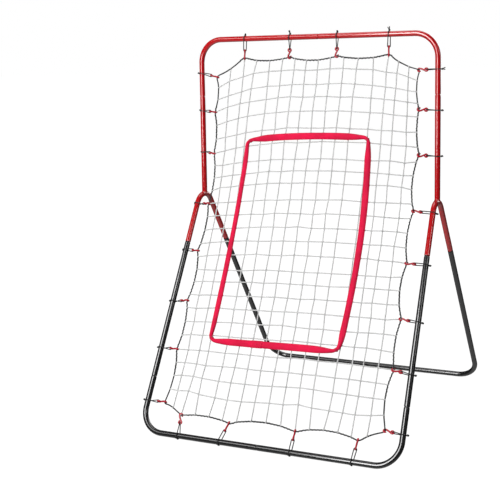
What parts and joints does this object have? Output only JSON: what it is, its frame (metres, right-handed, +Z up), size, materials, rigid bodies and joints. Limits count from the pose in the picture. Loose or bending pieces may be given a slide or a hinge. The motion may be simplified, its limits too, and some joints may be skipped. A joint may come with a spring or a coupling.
{
  "type": "pitching target net",
  "caption": "Free-standing tube frame leaning back on a rear stand, with a square-mesh net on hooks and elastic loops and a strap marking the strike zone.",
  "frame": {"origin": "on the floor, under the middle of the object's bounding box", "axes": "+Z up; +X to the thrower's right; the thrower stands on the -Y side and the rear stand is at +Y"},
  "size_m": [0.952, 0.9815, 1.3359],
  "materials": {
    "red_paint": "gloss powder coat",
    "black_paint": "gloss powder coat",
    "hook_plastic": "moulded",
    "elastic_cord": "braided sleeve over rubber",
    "net_cord": "twisted polyester",
    "border_rope": "braided",
    "strap_webbing": "woven webbing"
  },
  "bodies": {
    "frame": {"top_left_corner_tube": "red_paint", "top_right_corner_tube": "red_paint", "left_y_upright": "red_paint", "right_y_upright": "red_paint", "left_front_leg": "black_paint", "right_front_leg": "black_paint", "bottom_left_corner_tube": "black_paint", "bottom_right_corner_tube": "black_paint", "loop_top_1": "elastic_cord", "loop_top_2": "elastic_cord", "loop_top_3": "elastic_cord", "loop_top_4": "elastic_cord", "loop_bottom_1": "elastic_cord", "loop_bottom_2": "elastic_cord", "loop_bottom_3": "elastic_cord", "loop_bottom_4": "elastic_cord", "loop_left_1": "elastic_cord", "loop_left_2": "elastic_cord", "loop_left_3": "elastic_cord", "loop_left_4": "elastic_cord", "loop_left_5": "elastic_cord", "loop_left_6": "elastic_cord", "loop_left_7": "elastic_cord", "loop_left_8": "elastic_cord", "loop_right_1": "elastic_cord", "loop_right_2": "elastic_cord", "loop_right_3": "elastic_cord", "loop_right_4": "elastic_cord", "loop_right_5": "elastic_cord", "loop_right_6": "elastic_cord", "loop_right_7": "elastic_cord", "loop_right_8": "elastic_cord"},
    "net_assembly": {"net": "net_cord", "border_rope": "border_rope", "strike_zone_strap": "strap_webbing", "hook_top_1": "hook_plastic", "hook_top_2": "hook_plastic", "hook_top_3": "hook_plastic", "hook_top_4": "hook_plastic", "hook_bottom_1": "hook_plastic", "hook_bottom_2": "hook_plastic", "hook_bottom_3": "hook_plastic", "hook_bottom_4": "hook_plastic", "hook_left_1": "hook_plastic", "hook_left_2": "hook_plastic", "hook_left_3": "hook_plastic", "hook_left_4": "hook_plastic", "hook_left_5": "hook_plastic", "hook_left_6": "hook_plastic", "hook_left_7": "hook_plastic", "hook_left_8": "hook_plastic", "hook_right_1": "hook_plastic", "hook_right_2": "hook_plastic", "hook_right_3": "hook_plastic", "hook_right_4": "hook_plastic", "hook_right_5": "hook_plastic", "hook_right_6": "hook_plastic", "hook_right_7": "hook_plastic", "hook_right_8": "hook_plastic"},
    "rear_stand": {"rear_stand_tube": "black_paint"}
  },
  "joints": [
    {"name": "net_rebound", "type": "slide", "parent": "frame", "child": "net_assembly", "axis": [0, 0.9373, -0.3486], "range_m": [-0.02, 0.04], "stiffness_N_per_m": 2500, "deforming": ["loop_top_1", "loop_top_2", "loop_top_3", "loop_top_4", "loop_bottom_1", "loop_bottom_2", "loop_bottom_3", "loop_bottom_4", "loop_left_1", "loop_left_2", "loop_left_3", "loop_left_4", "loop_left_5", "loop_left_6", "loop_left_7", "loop_left_8", "loop_right_1", "loop_right_2", "loop_right_3", "loop_right_4", "loop_right_5", "loop_right_6", "loop_right_7", "loop_right_8"]},
    {"name": "rear_stand_pull_out", "type": "slide", "parent": "frame", "child": "rear_stand", "axis": [0, 0.5292, -0.8485], "range_m": [0, 0.055]}
  ]
}
